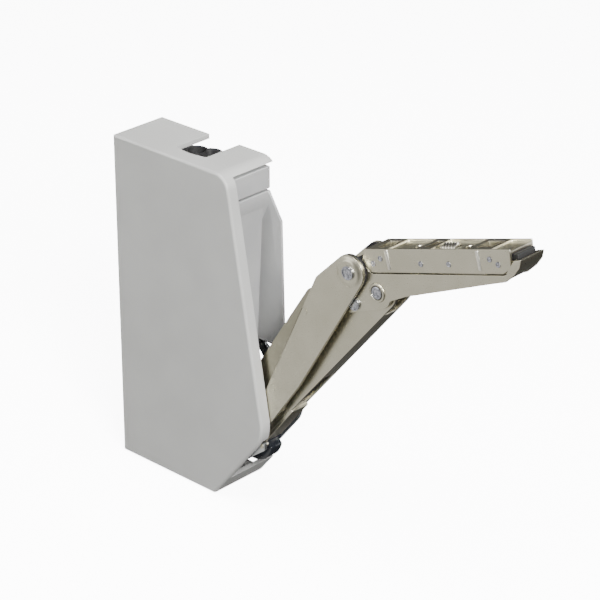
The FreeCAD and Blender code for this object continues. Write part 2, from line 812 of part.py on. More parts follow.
def make_cheek_spacers():
    rear = wall + plate_margin + spacer_radius + spacer_edge
    low = height - rear
    high = cheek_top - cheek_rise + spacer_radius + spacer_edge * 2
    spots = [(rear, high), (rear, low), (screw_front - screw_radius * 4, low)]
    bars = [cylinder(depth, drop, cheek_inner, far_plate, spacer_radius) for depth, drop in spots]
    pieces = doc.addObject("Part::Compound", "Spacers")
    pieces.Links = bars
    keep("cheek_spacers", pieces)


def make_lower_arm():
    """Channel pressing: two flanges, a web on the door side, and the tail for the drive."""
    body = new_body("lower_arm", base_depth, arm_centre, base_drop, lower_angle)
    side = plane_sketch(body, "XZ_Plane", "Side")
    draw_belt(side, [(0, 0, lower_end), (lower_length, 0, lower_top)])
    add_pad(body, side, lower_half * 2, middle=True)
    tail_turn = tail_angle - lower_angle
    tail_x, tail_z = tail_reach * cosine(tail_turn), tail_reach * sine(tail_turn)
    tail = plane_sketch(body, "XZ_Plane", "Tail")
    draw_belt(tail, [(0, 0, lower_end), (tail_x, tail_z, tail_end)])
    add_pad(body, tail, lower_half * 2, middle=True)
    hollow = plane_sketch(body, "XZ_Plane", "Hollow")
    far_end = lower_length + lower_top * 2
    rear_end = -lower_top * 3
    taper = (lower_top - lower_end) / lower_length
    draw_outline(hollow, [(rear_end, arm_sheet - lower_end - taper * rear_end),
                          (far_end, arm_sheet - lower_end - taper * far_end),
                          (far_end, lower_top * 4), (rear_end, lower_top * 4)])
    add_pocket(body, hollow, (lower_half - arm_sheet) * 2)
    ends = plane_sketch(body, "XZ_Plane", "Ends")
    for start, stop in ((rear_end, web_start), (lower_length - lower_top, far_end)):
        draw_outline(ends, [(start, -lower_top * 2), (stop, -lower_top * 2), (stop, 0), (start, 0)])
    add_pocket(body, ends, (lower_half - arm_sheet) * 2)
    holes = plane_sketch(body, "XZ_Plane", "Holes")
    draw_circle(holes, 0, 0, base_pin + pin_gap)
    draw_circle(holes, lower_length, 0, wing_pin + pin_gap)
    draw_circle(holes, tail_x, tail_z, tail_pin)
    add_pocket(body, holes)
    window = plane_sketch(body, "XY_Plane", "Window")
    draw_outline(window, [(window_start, -window_half), (window_end, -window_half),
                          (window_end, window_half), (window_start, window_half)])
    add_pocket(body, window, lower_top * 4)
    doc.recompute()
    cap = new_body("arm_end_cap", base_depth, arm_centre, base_drop, lower_angle)
    side = plane_sketch(cap, "XZ_Plane", "Side")
    draw_belt(side, [(0, 0, end_cap), (end_cap_reach, -end_cap_low, end_cap_tip)])
    draw_circle(side, 0, 0, base_pin + pin_gap)
    add_pad(cap, side, (lower_half - arm_sheet) * 2, middle=True)
    doc.recompute()


def mirrored_plates(name, inner, gauge, draw):
    """The same pressing on both sides of the arms' middle plane."""
    flat_plate(name + "_near", arm_centre - inner - gauge, gauge, draw)
    flat_plate(name + "_far", arm_centre + inner, gauge, draw)


def make_upper_arm():
    """Two plain side plates, each with a thinner liner that carries the guide pin."""
    shoulder = (arm_depth - shoulder_back, -arm_drop - shoulder_low, shoulder_round)
    bulge = (arm_depth - bulge_back, -arm_drop - bulge_low, bulge_round)
    foot = (arm_depth - foot_back, -arm_drop - foot_low, foot_round)

    def draw_plate(sketch):
        draw_belt(sketch, [foot, bulge, (arm_depth, -arm_drop, upper_end), shoulder])
        draw_circle(sketch, arm_depth, -arm_drop, arm_pin + pin_gap)
        for depth, drop in liner_rivet_spots:
            draw_circle(sketch, depth, -drop, liner_rivet)

    def draw_liner(sketch):
        draw_belt(sketch, [(guide_depth, -guide_drop, guide_end),
                           (guide_depth + heel_reach, -guide_drop + heel_low, heel_round),
                           (arm_depth - liner_back, -arm_drop - liner_low, liner_round)])
        draw_circle(sketch, guide_depth, -guide_drop, guide_pin)
        for depth, drop in liner_rivet_spots:
            draw_circle(sketch, depth, -drop, liner_rivet)

    mirrored_plates("upper_arm", flange_inner, arm_sheet, draw_plate)
    mirrored_plates("guide_liner", liner_inner, liner_sheet, draw_liner)
    for side, rise, outward in (("near", boss_height, False), ("far", arm_sheet + boss_height, True)):
        plate = nodes["upper_arm_" + side]
        ring = plane_sketch(plate, "XZ_Plane", "Boss")
        draw_circle(ring, arm_depth, -arm_drop, arm_boss)
        draw_circle(ring, arm_depth, -arm_drop, arm_pin + pin_gap)
        add_pad(plate, ring, rise, reverse=outward)
    doc.recompute()
    bars = []
    for depth, drop in liner_rivet_spots:
        for low, high in ((-flange_outer, -liner_inner), (liner_inner, flange_outer)):
            bars.append(cylinder(depth, drop, arm_centre + low, arm_centre + high, liner_rivet))
    rivets = doc.addObject("Part::Compound", "LinerRivets")
    rivets.Links = bars
    keep("liner_rivets", rivets)


def wing_frame(layer):
    return (wing_depth, layer, wing_drop, door_tilt)


def make_carrier_wing():
    """Pressed carrier: two cheeks, joined by a bridge under the bracket's tip."""
    body = new_body("carrier_wing", *wing_frame(arm_centre))
    knuckle = plane_sketch(body, "XZ_Plane", "Knuckle")
    draw_belt(knuckle, [(-link_back - link_edge, -link_low - link_edge / 2, link_round),
                        (0, -pivot_shift, pivot_round), (-knuckle_back, knuckle_rise, arm_round)])
    add_pad(body, knuckle, wing_half * 2, middle=True)
    tongue = plane_sketch(body, "XZ_Plane", "Tongue")
    draw_outline(tongue, [(0, -pivot_round), (chin_start, -pivot_round), (neck_start, -neck_low),
                          (throat_start, -throat_low), (belly_end, belly_height),
                          (hook_start, wing_tip), (hook_start, wing_top), (-chin_start * 3, wing_top)])
    add_pad(body, tongue, wing_half * 2, middle=True)
    hook = plane_sketch(body, "XZ_Plane", "Hook")
    hook_end = hook_start + hook_reach
    hook_middle = hook_start + hook_reach / 2
    bend_height = hook_top - wing_sheet * 2
    draw_outline(hook, [
        (hook_start, wing_tip), (hook_middle, wing_top), (hook_end - wing_sheet, bend_height),
        (hook_end, hook_top), (hook_end - wing_sheet, hook_top),
        (hook_end - wing_sheet * 2, bend_height),
        (hook_middle - wing_sheet, wing_top + wing_sheet * 2 / 3), (hook_start, wing_top)])
    add_pad(body, hook, wing_half * 2, middle=True)
    eye = plane_sketch(body, "XZ_Plane", "Eye")
    draw_circle(eye, -eye_back, eye_height, eye_radius)
    add_pad(body, eye, wing_half * 2, middle=True)
    hollow = plane_sketch(body, "XZ_Plane", "Hollow")
    ceiling = wing_top - wing_sheet
    past = hook_start + overshoot
    draw_outline(hollow, [(-overshoot, -overshoot), (past, -overshoot), (past, ceiling),
                          (bridge_start, ceiling), (bridge_start, overshoot), (-overshoot, overshoot)])
    add_pocket(body, hollow, wing_inner * 2)
    holes = plane_sketch(body, "XZ_Plane", "Holes")
    draw_circle(holes, 0, 0, wing_pin)
    draw_circle(holes, -knuckle_back, knuckle_rise, arm_pin + pin_gap)
    draw_circle(holes, -eye_back, eye_height, eye_hole)
    draw_circle(holes, -link_back, -link_low, arm_pin)
    add_pocket(body, holes)
    doc.recompute()


def make_door_bracket():
    """Clip-on channel under the door: top sheet, two side walls and cross ribs."""
    body = new_body("door_bracket", *wing_frame(arm_centre))
    side = plane_sketch(body, "XZ_Plane", "Side")
    nose_slope = bracket_start - bracket_nose
    draw_outline(side, [
        (bracket_start, door_height), (bracket_nose, bracket_low + nose_slope * 2),
        (bracket_nose + nose_slope / 3, bracket_low + nose_slope * 3 / 2),
        (bracket_start, bracket_low + nose_slope / 4), (bracket_start + nose_slope / 2, bracket_low),
        (bracket_end - nose_slope * 2, bracket_low),
        (bracket_end - nose_slope, bracket_low + nose_slope / 2),
        (bracket_end - nose_slope / 3, bracket_low + nose_slope),
        (bracket_end, door_height - bracket_step), (bracket_end, door_height)])
    add_pad(body, side, wing_half * 2, middle=True)
    ridges = plane_sketch(body, "XZ_Plane", "Ridges")
    for along in (first_rib - ridge_width, third_start + (third_rib - third_start) * ridge_share):
        draw_outline(ridges, [(along, ridge_start), (along + ridge_width, ridge_start),
                              (along + ridge_width, ridge_top), (along, ridge_top)])
    add_pad(body, ridges, (wing_half + ridge_rise) * 2, middle=True)
    hollow = plane_sketch(body, "XZ_Plane", "Hollow")
    underside = door_height - bracket_top
    past = bracket_end + overshoot
    draw_outline(hollow, [(-overshoot, 0), (past, 0), (past, underside), (-overshoot, underside)])
    add_pocket(body, hollow, (wing_half - bracket_wall) * 2)
    steps = plane_sketch(body, "XZ_Plane", "Steps")
    starts = [band[1] for band in bands]
    stops = [bands[1][0], bands[2][0], bracket_end + bracket_step]
    for start, stop in zip(starts, stops):
        draw_outline(steps, [(start, door_height - bracket_step), (stop, door_height - bracket_step),
                             (stop, door_height + bracket_step), (start, door_height + bracket_step)])
    add_pocket(body, steps, step_half * 2)
    bores = plane_sketch(body, "XZ_Plane", "Bores")
    for along, up in cross_pins:
        draw_circle(bores, along, up, cross_pin)
    add_pocket(body, bores)
    top = plane_sketch(body, "XY_Plane", "TopHoles")
    for start, stop, window in bands:
        draw_outline(top, [(window, -window_wide), (stop - rib_width, -window_wide),
                           (stop - rib_width, window_wide), (window, window_wide)])
    room = worm_length / 2 + fit_gap
    side_room = worm_radius + fit_gap
    draw_outline(top, [(worm_middle - room, -side_room), (worm_middle + room, -side_room),
                       (worm_middle + room, side_room), (worm_middle - room, side_room)])
    for along in (door_screw_first, door_screw_second):
        draw_circle(top, along, 0, door_screw_radius)
    add_pocket(body, top, door_height * 4)
    doc.recompute()

    pins = new_body("bracket_pins", *wing_frame(arm_centre))
    ends = plane_sketch(pins, "XZ_Plane", "Ends")
    for along, up in cross_pins:
        draw_circle(ends, along, up, cross_pin)
    pins.AllowCompound = True
    add_pad(pins, ends, (wing_half + pin_stand) * 2, middle=True)
    doc.recompute()

    latch = new_body("bracket_latch", *wing_frame(arm_centre))
    face = plane_sketch(latch, "XZ_Plane", "Face")
    latch_end, latch_low = bracket_end + latch_reach, underside - latch_height
    draw_outline(face, [(latch_start, latch_low), (latch_end, latch_low), (latch_end, underside),
                        (latch_start, underside)])
    add_pad(latch, face, latch_half * 2, middle=True)
    doc.recompute()


def make_worm():
    """Adjusting worm that lies along the bracket under its window."""
    body = new_body("height_worm", *wing_frame(arm_centre))
    ring = plane_sketch(body, "XZ_Plane", "Half")
    start, stop = worm_middle - worm_length / 2, worm_middle + worm_length / 2
    draw_outline(ring, [(start, worm_height), (stop, worm_height), (stop, worm_height + worm_radius),
                        (start, worm_height + worm_radius)])
    solid = body.newObject("PartDesign::Revolution", "Round")
    solid.Profile = ring
    solid.ReferenceAxis = (ring, ["Edge1"])
    solid.Angle = 360
    doc.recompute()


def make_pins():
    """Pins and rivets across the arms."""
    head = head_height
    turned_pin("base_pin", base_depth, base_drop, [(near_cheek, thickness, base_pin)])
    side = lower_half + layer_gap / 2
    tube_near = cylinder(base_depth, base_drop, cheek_inner, arm_centre - side, base_bush)
    tube_far = cylinder(base_depth, base_drop, arm_centre + side, far_plate, base_bush)
    bore = cylinder(base_depth, base_drop, 0, thickness, base_pin + pin_gap)
    both = doc.addObject("Part::Compound", "Bushes")
    both.Links = [tube_near, tube_far]
    keep("base_bushes", without(both, [bore]))
    near, far = arm_centre - boss_outer, arm_centre + boss_outer
    turned_pin("arm_pin", arm_depth, arm_drop,
               [(near, far, arm_pin), (near - head, near, arm_head), (far, far + head, arm_head)])
    spacers = doc.addObject("Part::Compound", "ArmSpacers")
    inside, outside = wing_inner - pin_gap, wing_half + pin_gap
    rings = [(-flange_inner, -outside, spacer_washer), (-inside, inside, spacer_tube),
             (outside, flange_inner, spacer_washer)]
    spacers.Links = [cylinder(arm_depth, arm_drop, arm_centre + low, arm_centre + high, radius)
                     for low, high, radius in rings]
    keep("arm_spacers", without(spacers, [cylinder(arm_depth, arm_drop, 0, thickness, arm_pin)]))
    near, far = arm_centre - wing_half, arm_centre + wing_half
    crown = head + crown_height
    turned_pin("wing_pin", wing_depth, wing_drop,
               [(near, far, wing_pin), (near - head, near, wing_head), (far, far + head, wing_head),
                (near - crown, near, wing_crown), (far, far + crown, wing_crown)])
    link_depth = wing_depth - link_back * cosine(door_tilt) + link_low * sine(door_tilt)
    link_drop = wing_drop + link_back * sine(door_tilt) + link_low * cosine(door_tilt)
    sides = [(near, arm_centre - wing_inner, near - head, near),
             (arm_centre + wing_inner, far, far, far + head)]
    rivets = []
    for shank_low, shank_high, head_low, head_high in sides:
        rivets.append(joined([cylinder(link_depth, link_drop, shank_low, shank_high, arm_pin),
                              cylinder(link_depth, link_drop, head_low, head_high, link_head)]))
    pair = doc.addObject("Part::Compound", "StopRivets")
    pair.Links = rivets
    keep("stop_rivets", pair)
    near_slider = cylinder(guide_depth, guide_drop, near_cheek, arm_centre - flange_outer, guide_slider)
    far_slider = cylinder(guide_depth, guide_drop, arm_centre + flange_outer, thickness, guide_slider)
    pins = [(near_cheek, arm_centre - liner_inner), (arm_centre + liner_inner, thickness)]
    bars = [cylinder(guide_depth, guide_drop, low, high, guide_pin) for low, high in pins]
    pair = doc.addObject("Part::Compound", "GuidePins")
    pair.Links = bars
    keep("guide_pins", pair)
    sliders = doc.addObject("Part::Compound", "Sliders")
    sliders.Links = [near_slider, far_slider]
    keep("guide_sliders", without(sliders, [cylinder(guide_depth, guide_drop, 0, thickness, guide_pin)]))
    near, far = arm_centre - lower_half, arm_centre + lower_half
    turned_pin("tail_pin", tail_depth, tail_drop, [(near, far, tail_pin)])
    ring = cylinder(tail_depth, tail_drop, near + arm_sheet + slider_play, far - arm_sheet - slider_play,
                    drive_slider)
    keep("drive_slider", without(ring, [cylinder(tail_depth, tail_drop, 0, thickness, tail_pin)]))


def make_spring_drive():
    """Pull rods, springs and the yoke that draws the arm's tail upward."""
    near, far = arm_centre - carriage_half, arm_centre + carriage_half
    start, stop = rear_spring - carriage_edge, front_spring + carriage_edge
    top = plate_drop - spring_plate_height
    plate = block(damper_line - damper_radius / 2, stop, near, far, plate_drop, top)
    clear = upright(screw_line, arm_centre, plate_drop + 1, top - 1, screw_shank + screw_room)
    rods_through = [upright(depth, arm_centre, plate_drop + 1, top - 1, rod_radius)
                    for depth in (rear_spring, front_spring)]
    keep("spring_plate", without(plate, [clear] + rods_through))

    bar_low = tail_drop + bar_height / 2
    bar_high = tail_drop - bar_height / 2
    bar = block(rear_spring - rod_radius * 2, tail_depth, arm_centre - yoke_half, arm_centre + yoke_half,
                bar_low, bar_high)
    frame = block(tail_depth - yoke_eye - yoke_play, tail_depth + yoke_eye + slider_play,
                  arm_centre - yoke_half, arm_centre + yoke_half, tail_drop + yoke_eye, tail_drop - yoke_eye)
    slot = block(tail_depth - drive_slider - yoke_play, tail_depth + drive_slider + slider_play, 0,
                 thickness, tail_drop + drive_slider + pin_gap, tail_drop - drive_slider - pin_gap)
    sockets = [upright(depth, arm_centre, bar_low + 1, bar_high - 1, rod_radius)
               for depth in (rear_spring, front_spring)]
    keep("drive_yoke", without(joined([bar, frame]), [slot] + sockets))

    rods = doc.addObject("Part::Compound", "Rods")
    rods.Links = [upright(depth, arm_centre, bar_low, top - nut_height - 1, rod_radius)
                  for depth in (rear_spring, front_spring)]
    keep("pull_rods", rods)
    nuts = []
    for depth in (rear_spring, front_spring):
        prism = doc.addObject("Part::Prism", "Nut")
        prism.Polygon = 6
        bind(prism, "Circumradius", nut_across / math.sqrt(3))
        bind(prism, "Height", nut_height)
        place(prism, depth, arm_centre, top)
        bore = upright(depth, arm_centre, top + 1, top - nut_height - 1, rod_radius)
        nuts.append(without(prism, [bore]))
    pair = doc.addObject("Part::Compound", "Nuts")
    pair.Links = nuts
    keep("rod_nuts", pair)

    seat = block(start, stop, near, far, seat_drop + seat_height, seat_drop)
    legs = block(start, rear_spring + spring_step / 2, cheek_inner + press_gap, far_plate - press_gap,
                 seat_drop + seat_height, seat_drop)
    bores = [upright(depth, arm_centre, seat_drop + seat_height + 1, seat_drop - 1, rod_radius + pin_gap)
             for depth in (rear_spring, front_spring)]
    bores.append(upright(screw_line, arm_centre, seat_drop + seat_height + 1, seat_drop - 1,
                         screw_shank + pin_gap))
    keep("spring_seat", without(joined([seat, legs]), bores))

    rise = (seat_drop - plate_drop - wire_radius * 2).value
    facets, turns = 12, int(round(coil_turns.value))
    path = []
    for step in range(facets * turns + 1):
        angle = 2 * math.pi * step / facets
        across, forward = coil_radius.value * math.cos(angle), coil_radius.value * math.sin(angle)
        path.append(FreeCAD.Vector(across, forward, rise * step / (facets * turns)))
    corners = [math.pi * corner / 3 for corner in range(6)]
    rim = [FreeCAD.Vector(coil_radius.value + wire_radius.value * math.cos(angle), 0,
                          wire_radius.value * math.sin(angle)) for angle in corners]
    wire = Part.makePolygon(path).makePipeShell([Part.makePolygon(rim + rim[:1])], True, False, 1)
    coils = []
    for depth in (rear_spring, front_spring):
        coil = doc.addObject("Part::Feature", "Spring")
        coil.Shape = wire
        place(coil, depth, arm_centre, seat_drop - wire_radius)
        coils.append(coil)
    pair = doc.addObject("Part::Compound", "Springs")
    pair.Links = coils
    keep("lifting_springs", pair)

    shank = upright(screw_line, arm_centre, seat_drop + seat_height * 3, bridge_drop, screw_shank)
    collar = upright(screw_line, arm_centre, bridge_drop, bridge_drop - collar_height, screw_head)
    recess = upright(screw_line, arm_centre, bridge_drop - collar_height / 2,
                     bridge_drop - collar_height * 2, screw_recess)
    keep("force_screw", without(joined([shank, collar]), [recess]))


def make_bridge():
    """Black moulding under the notch, which holds the force screw."""
    base = block(notch_start - bridge_reach, notch_end + bridge_reach - 1, cheek_inner, far_plate,
                 bridge_drop + bridge_height, bridge_drop)
    lobes = [upright(screw_line + offset, arm_centre + shift, bridge_drop, lobe_drop, lobe_radius)
             for offset, shift in ((0, 0), (lobe_step, lobe_shift))]
    well = upright(screw_line, arm_centre, bridge_drop, lobe_drop - 1, screw_head + screw_room)
    bore = upright(screw_line, arm_centre, bridge_drop + bridge_height + 1, lobe_drop - 1,
                   screw_shank + pin_gap)
    dish = upright(screw_line + lobe_step, arm_centre + lobe_shift, lobe_drop + lobe_shift, lobe_drop - 1,
                   dish_radius)
    keep("spring_bridge", without(joined([base] + lobes), [well, bore, dish]))


def make_damper():
    """Closing damper beside the springs; its plunger hangs from the spring plate."""
    tube = upright(damper_line, arm_centre, damper_bottom, damper_top, damper_radius)
    saddle = block(damper_line - damper_foot, damper_line + damper_foot, arm_centre + damper_foot,
                   far_plate, damper_bottom - damper_foot * 2, damper_top + damper_foot * 2)
    bore = upright(damper_line, arm_centre, damper_bottom - damper_foot, damper_top - 1,
                   plunger_radius + pin_gap)
    keep("damper_body", without(joined([tube, saddle]), [bore]))
    plunger_end = damper_top + plunger_overlap
    keep("damper_plunger", upright(damper_line, arm_centre, plunger_end, plate_drop, plunger_radius))


def make_front():
    """Small cap at the top of the mouth, and the moulded insert below it."""
    near, far = strip_width + press_gap, far_plate - fit_gap
    cap = block(face_top - insert_wall * 3, face_top, near, far, cap_bottom, cap_top)
    keep("top_cap", cap)

    top = cap_bottom + cap_gap

    def draw_tongue(sketch):
        draw_outline(sketch, [(groove_back, -insert_bottom), (face_top - tongue_lean, -insert_bottom),
                              (face_top, -top), (groove_back, -top)])

    def draw_head(sketch):
        draw_outline(sketch, [(groove_back, -top), (groove_back, -head_bottom),
                              (face_top, -head_front), (face_top, -top)])

    def draw_wall(sketch):
        reach = face_top + insert_reach
        draw_outline(sketch, [
            (groove_back, -insert_bottom), (reach, -insert_bottom),
            (reach + insert_wall, groove_reach - insert_bottom),
            (reach, -top - groove_reach), (face_top, -top), (groove_back, -top)])

    tongue = flat_plate("insert_tongue", arm_centre - tongue_half, tongue_half * 2, draw_tongue)
    head = flat_plate("insert_head", near, far - near, draw_head)
    side = flat_plate("insert_side", far - insert_wall, insert_wall, draw_wall)
    for name in ("insert_tongue", "insert_head", "insert_side"):
        del nodes[name]
    keep("front_insert", joined([tongue, head, side]))


make_outer_cover()
make_base_plate()
make_inner_cheek()
make_cheek_spacers()
make_lower_arm()
make_upper_arm()
make_carrier_wing()
make_door_bracket()
make_worm()
make_pins()
make_spring_drive()
make_bridge()
make_damper()
make_front()
doc.recompute()

for thing in doc.Objects:
    if "Invalid" in thing.State or "Error" in thing.State:
        raise RuntimeError("%s failed: %s" % (thing.Label, thing.State))
os.makedirs("parts", exist_ok=True)
for name, thing in nodes.items():
    if thing.Shape.isNull() or not thing.Shape.isValid():
        raise RuntimeError("%s has no sound shape" % name)
    thing.Shape.exportStep("parts/%s.step" % name)
print("%d nodes" % len(nodes))
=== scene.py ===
"""Studio scene of an upward flap stay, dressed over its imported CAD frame.

The stay is shown with the door open. The cover's grey side faces the viewer's left,
its open mouth and front strip face right, and the two arms carry the door bracket.
"""
import json
import math

import bpy
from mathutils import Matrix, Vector

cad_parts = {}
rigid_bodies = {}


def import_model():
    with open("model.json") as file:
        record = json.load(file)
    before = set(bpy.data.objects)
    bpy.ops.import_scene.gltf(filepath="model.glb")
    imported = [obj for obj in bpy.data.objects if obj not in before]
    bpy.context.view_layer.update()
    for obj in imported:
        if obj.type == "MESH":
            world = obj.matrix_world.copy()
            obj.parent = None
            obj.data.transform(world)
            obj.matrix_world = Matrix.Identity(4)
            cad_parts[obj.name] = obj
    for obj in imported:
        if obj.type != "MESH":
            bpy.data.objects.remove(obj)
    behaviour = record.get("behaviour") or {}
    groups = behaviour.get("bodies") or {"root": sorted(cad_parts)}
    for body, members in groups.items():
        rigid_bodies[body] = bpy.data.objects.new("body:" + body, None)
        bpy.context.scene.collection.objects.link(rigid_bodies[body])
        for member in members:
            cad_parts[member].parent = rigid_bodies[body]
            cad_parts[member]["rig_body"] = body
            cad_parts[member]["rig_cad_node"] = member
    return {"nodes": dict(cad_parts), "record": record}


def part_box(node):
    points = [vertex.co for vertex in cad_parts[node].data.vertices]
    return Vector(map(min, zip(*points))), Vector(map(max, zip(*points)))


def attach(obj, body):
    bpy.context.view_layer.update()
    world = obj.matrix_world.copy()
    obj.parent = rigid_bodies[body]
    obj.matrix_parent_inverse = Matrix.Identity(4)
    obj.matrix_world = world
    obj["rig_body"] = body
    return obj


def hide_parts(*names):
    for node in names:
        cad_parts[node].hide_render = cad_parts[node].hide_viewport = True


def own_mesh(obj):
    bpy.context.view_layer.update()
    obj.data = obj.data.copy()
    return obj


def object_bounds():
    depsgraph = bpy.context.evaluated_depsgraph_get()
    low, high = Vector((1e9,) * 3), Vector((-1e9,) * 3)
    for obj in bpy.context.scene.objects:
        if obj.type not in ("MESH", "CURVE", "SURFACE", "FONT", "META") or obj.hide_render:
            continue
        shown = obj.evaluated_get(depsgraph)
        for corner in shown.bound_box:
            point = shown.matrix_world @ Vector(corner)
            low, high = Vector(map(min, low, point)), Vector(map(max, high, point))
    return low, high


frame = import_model()
nodes = frame["nodes"]
cad_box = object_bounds()
bpy.ops.object.select_all(action="DESELECT")

MM = 0.001
home = bpy.context.scene.collection


# Colours and nodes

def colour(code):
    """An sRGB hex value as linear red, green, blue and alpha."""
    parts = [int(code[place:place + 2], 16) / 255 for place in (0, 2, 4)]
    linear = [part / 12.92 if part <= 0.04045 else ((part + 0.055) / 1.055) ** 2.4
              for part in parts]
    return linear + [1]


def add(tree, kind, inputs=None, **settings):
    """A shader node with its settings; a socket given as an input is linked."""
    made = tree.nodes.new(kind)
    for name, value in settings.items():
        setattr(made, name, value)
    for name, value in (inputs or {}).items():
        if isinstance(value, bpy.types.NodeSocket):
            tree.links.new(value, made.inputs[name])
        else:
            made.inputs[name].default_value = value
    return made


def new_material(name):
    """An empty material, with the position on the piece that its patterns start from."""
    made = bpy.data.materials.new(name)
    made.use_nodes = True
    made.node_tree.nodes.clear()
    place = add(made.node_tree, "ShaderNodeTexCoord").outputs["Object"]
    return made, made.node_tree, place


def close_material(tree, shader):
    add(tree, "ShaderNodeOutputMaterial", {"Surface": shader.outputs["BSDF"]})


def two_tones(tree, pattern, low, high, dark, light):
    """A pattern turned into a soft change between two colours."""
    ramp = add(tree, "ShaderNodeValToRGB", {"Fac": pattern})
    ramp.color_ramp.elements[0].position = low
    ramp.color_ramp.elements[0].color = colour(dark)
    ramp.color_ramp.elements[1].position = high
    ramp.color_ramp.elements[1].color = colour(light)
    return ramp.outputs["Color"]


# Real sizes of the patterns
MELT_CLOUD = 16.7 * MM      # faint clouds where the melt flowed together
PLATE_CLOUD = 11.1 * MM     # cloudy patches of a plating bath
TOOL_MARK = 1.11 * MM       # mottling under the rivet tool
SHEET_GRAIN = 0.4 * MM      # rolled sheet, coarser than the real one so that it shows
PIT_DEPTH = 0.12 * MM
GRAIN_DEPTH = 0.03 * MM


def spark_eroded_plastic(name, dark, light, roughness, grain, gleam=0.5):
    """Moulded plastic: an even colour with the fine, soft grain of a spark-eroded tool.

    The grain is a little coarser than the real one, so that it shows.
    """
    made, tree, place = new_material(name)
    cloud = add(tree, "ShaderNodeTexNoise",
                {"Vector": place, "Scale": 1 / MELT_CLOUD, "Detail": 3.0})
    tone = two_tones(tree, cloud.outputs["Fac"], 0.35, 0.65, dark, light)
    pits = add(tree, "ShaderNodeTexNoise",
               {"Vector": place, "Scale": 1 / grain, "Detail": 2.0, "Roughness": 0.6})
    worn = add(tree, "ShaderNodeMapRange",
               {"Value": cloud.outputs["Fac"], "From Min": 0.3, "From Max": 0.7,
                "To Min": roughness - 0.04, "To Max": roughness + 0.05})
    bump = add(tree, "ShaderNodeBump",
               {"Height": pits.outputs["Fac"], "Strength": 0.22, "Distance": PIT_DEPTH})
    close_material(tree, add(tree, "ShaderNodeBsdfPrincipled", {
        "Base Color": tone, "Roughness": worn.outputs["Result"], "IOR": 1.53,
        "Specular IOR Level": gleam, "Normal": bump.outputs["Normal"]}))
    return made


def plated_steel(name, dark, light, roughness, spread, relief, patch=PLATE_CLOUD):
    """Plated pressed steel: a soft sheen with faint clouds, over the grain of the rolled sheet."""
    made, tree, place = new_material(name)
    cloud = add(tree, "ShaderNodeTexNoise",
                {"Vector": place, "Scale": 1 / patch, "Detail": 2.0, "Roughness": 0.5})
    tone = two_tones(tree, cloud.outputs["Fac"], 0.3, 0.7, dark, light)
    marks = add(tree, "ShaderNodeTexNoise",
                {"Vector": place, "Scale": 1 / SHEET_GRAIN, "Detail": 3.0})
    sheen = add(tree, "ShaderNodeMapRange",
                {"Value": marks.outputs["Fac"], "From Min": 0.3, "From Max": 0.7,
                 "To Min": roughness - spread, "To Max": roughness + spread})
    bump = add(tree, "ShaderNodeBump",
               {"Height": marks.outputs["Fac"], "Strength": relief, "Distance": GRAIN_DEPTH})
    close_material(tree, add(tree, "ShaderNodeBsdfPrincipled", {
        "Base Color": tone, "Metallic": 1.0, "Roughness": sheen.outputs["Result"],
        "Normal": bump.outputs["Normal"]}))
    return made


# Polypropylene cover: light neutral grey, dull, with a fine even grain
cover_plastic = spark_eroded_plastic(
    "moulded_polypropylene_grey", "848482", "888886", roughness=0.5, grain=0.5 * MM)
# The cap and the insert come from a smoother tool. Their grey is a shade darker: painted shade, for
# the insert in the shaded mouth
insert_plastic_painted_shade = spark_eroded_plastic(
    "smooth_polypropylene_grey_painted_shade", "7C7C7C", "838382", roughness=0.42, grain=0.9 * MM)
# Glass-filled nylon: near black and dull, so that the lamps hardly show in it
nylon_black = spark_eroded_plastic(
    "glass_filled_nylon_black", "151515", "1E1E1E", roughness=0.5, grain=0.4 * MM, gleam=0.15)
# The same nylon from a polished tool: glossy black on the arm's rest
nylon_gloss = spark_eroded_plastic(
    "polished_nylon_black", "121418", "17191D", roughness=0.14, grain=1.5 * MM)
# Acetal sliders and bushes: waxy charcoal
acetal_charcoal = spark_eroded_plastic(
    "acetal_charcoal", "303234", "3B3D40", roughness=0.3, grain=0.7 * MM)
# Damper tube: smooth dark grey with more shine
damper_plastic = spark_eroded_plastic(
    "damper_tube_grey", "45484B", "505457", roughness=0.24, grain=1.2 * MM)
# Satin nickel over pressed steel: warm grey with a wide soft highlight
satin_nickel = plated_steel(
    "satin_nickel_plate", "C2BEAB", "CAC6B4", roughness=0.29, spread=0.02, relief=0.05)
# The liners sit in the arm's shade: a darker copy of the satin nickel, painted shade
liner_painted_shade = plated_steel(
    "satin_nickel_in_painted_shade", "9C9886", "A6A290", roughness=0.32, spread=0.02, relief=0.05)
# A much lighter copy of the same plate for the proud ridges: painted highlight
ridge_painted_highlight = plated_steel(
    "painted_highlight_ridge_nickel", "E9E6DA", "F4F2E9", roughness=0.3, spread=0.03, relief=0.05)
# Painted shade in the narrow joint round a rivet's collar: nearly black
joint_painted_shade = spark_eroded_plastic(
    "dark_painted_joint_shade", "15140F", "24221B", roughness=0.55, grain=0.3 * MM)
# Bright zinc: colder and lighter, with cloudy patches
bright_zinc = plated_steel(
    "bright_zinc_plate", "B9BDBE", "C9CCCC", roughness=0.31, spread=0.08, relief=0.2)
# Turned pins and the worm: the brightest metal, nearly a mirror
bright_nickel = plated_steel(
    "headed_rivet_nickel", "C6C2B6", "D9D6CC", roughness=0.19, spread=0.05, relief=0.06)
# Riveted steel ends: bluer and mottled where the rivet tool bared the steel
rivet_steel = plated_steel(
    "orbital_riveted_steel", "83858E", "C6C7CD", roughness=0.22, spread=0.08, relief=0.3,
    patch=TOOL_MARK)
# Oiled spring wire: dark blue-grey with drawn lines
spring_wire = plated_steel(
    "oiled_spring_wire", "5B5E62", "74777B", roughness=0.27, spread=0.06, relief=0.2)

